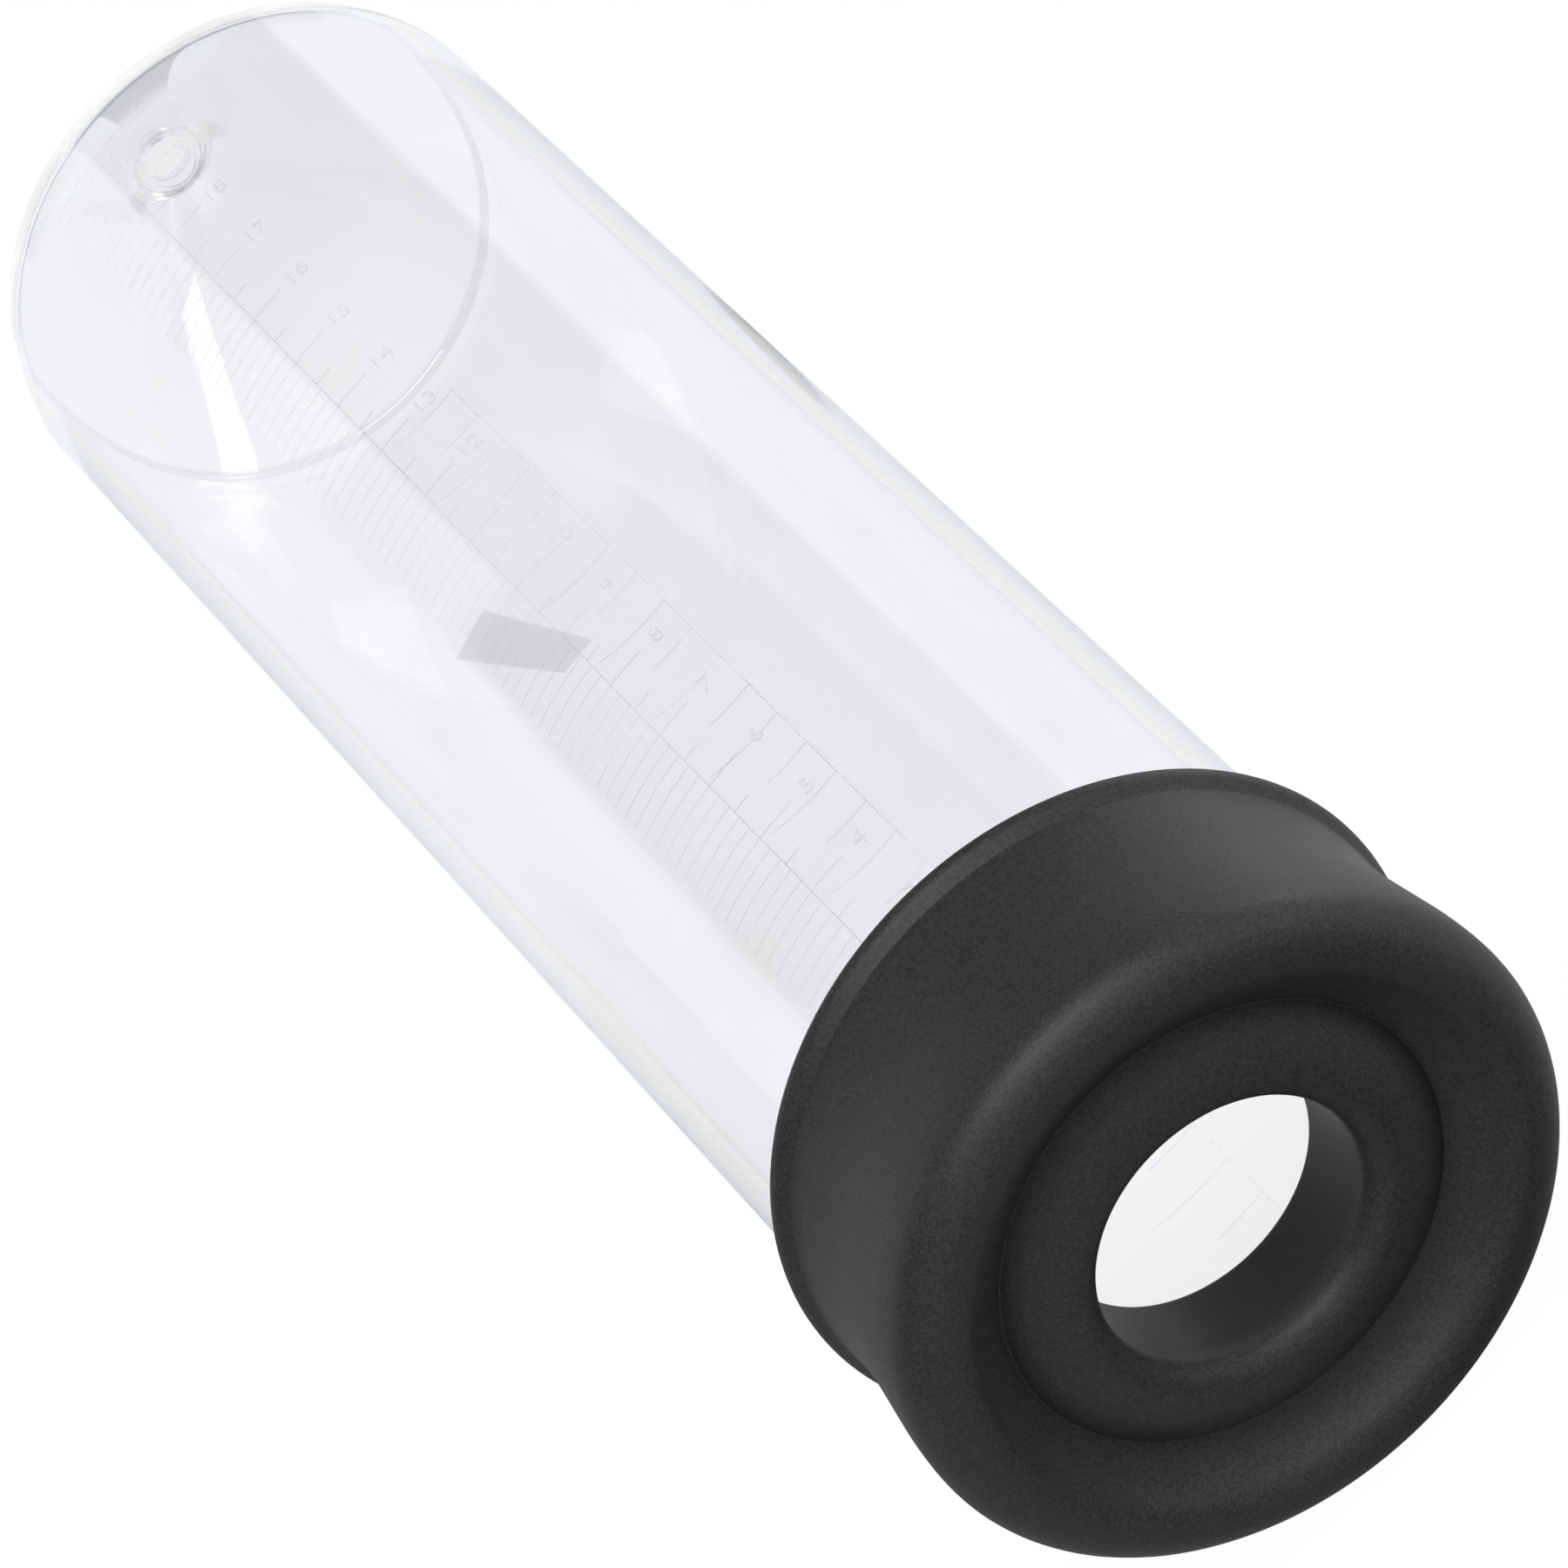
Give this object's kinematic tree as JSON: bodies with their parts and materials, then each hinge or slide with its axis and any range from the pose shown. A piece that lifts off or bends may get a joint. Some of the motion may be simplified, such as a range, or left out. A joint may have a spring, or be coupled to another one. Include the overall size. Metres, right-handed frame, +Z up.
{
  "type": "graduated vacuum cylinder",
  "caption": "Clear graduated tube with a conical closed end and small hose port, and a black elastomer seal sleeve that pulls off its open end.",
  "frame": {"origin": "on the cylinder's axis, in the plane of the seal sleeve's front crest", "axes": "+Y along the axis from the sleeve to the closed end with the port; +Z up through the centimetre scale; +X to the right seen from the sleeve"},
  "size_m": [0.0656, 0.2337, 0.0656],
  "materials": {
    "clear_plastic": "clear, polished moulding",
    "black_silicone": "matte, very fine grain",
    "scale_marks": "clear raised marks that read as thin grey lines"
  },
  "bodies": {
    "barrel": {"barrel": "clear_plastic", "centimetre_scale": "scale_marks", "inch_scale": "scale_marks"},
    "sleeve": {"seal_sleeve": "black_silicone"}
  },
  "joints": [
    {"name": "sleeve_pull_off", "type": "slide", "parent": "barrel", "child": "sleeve", "axis": [0, -1, 0], "range_m": [0, 0.04]}
  ]
}
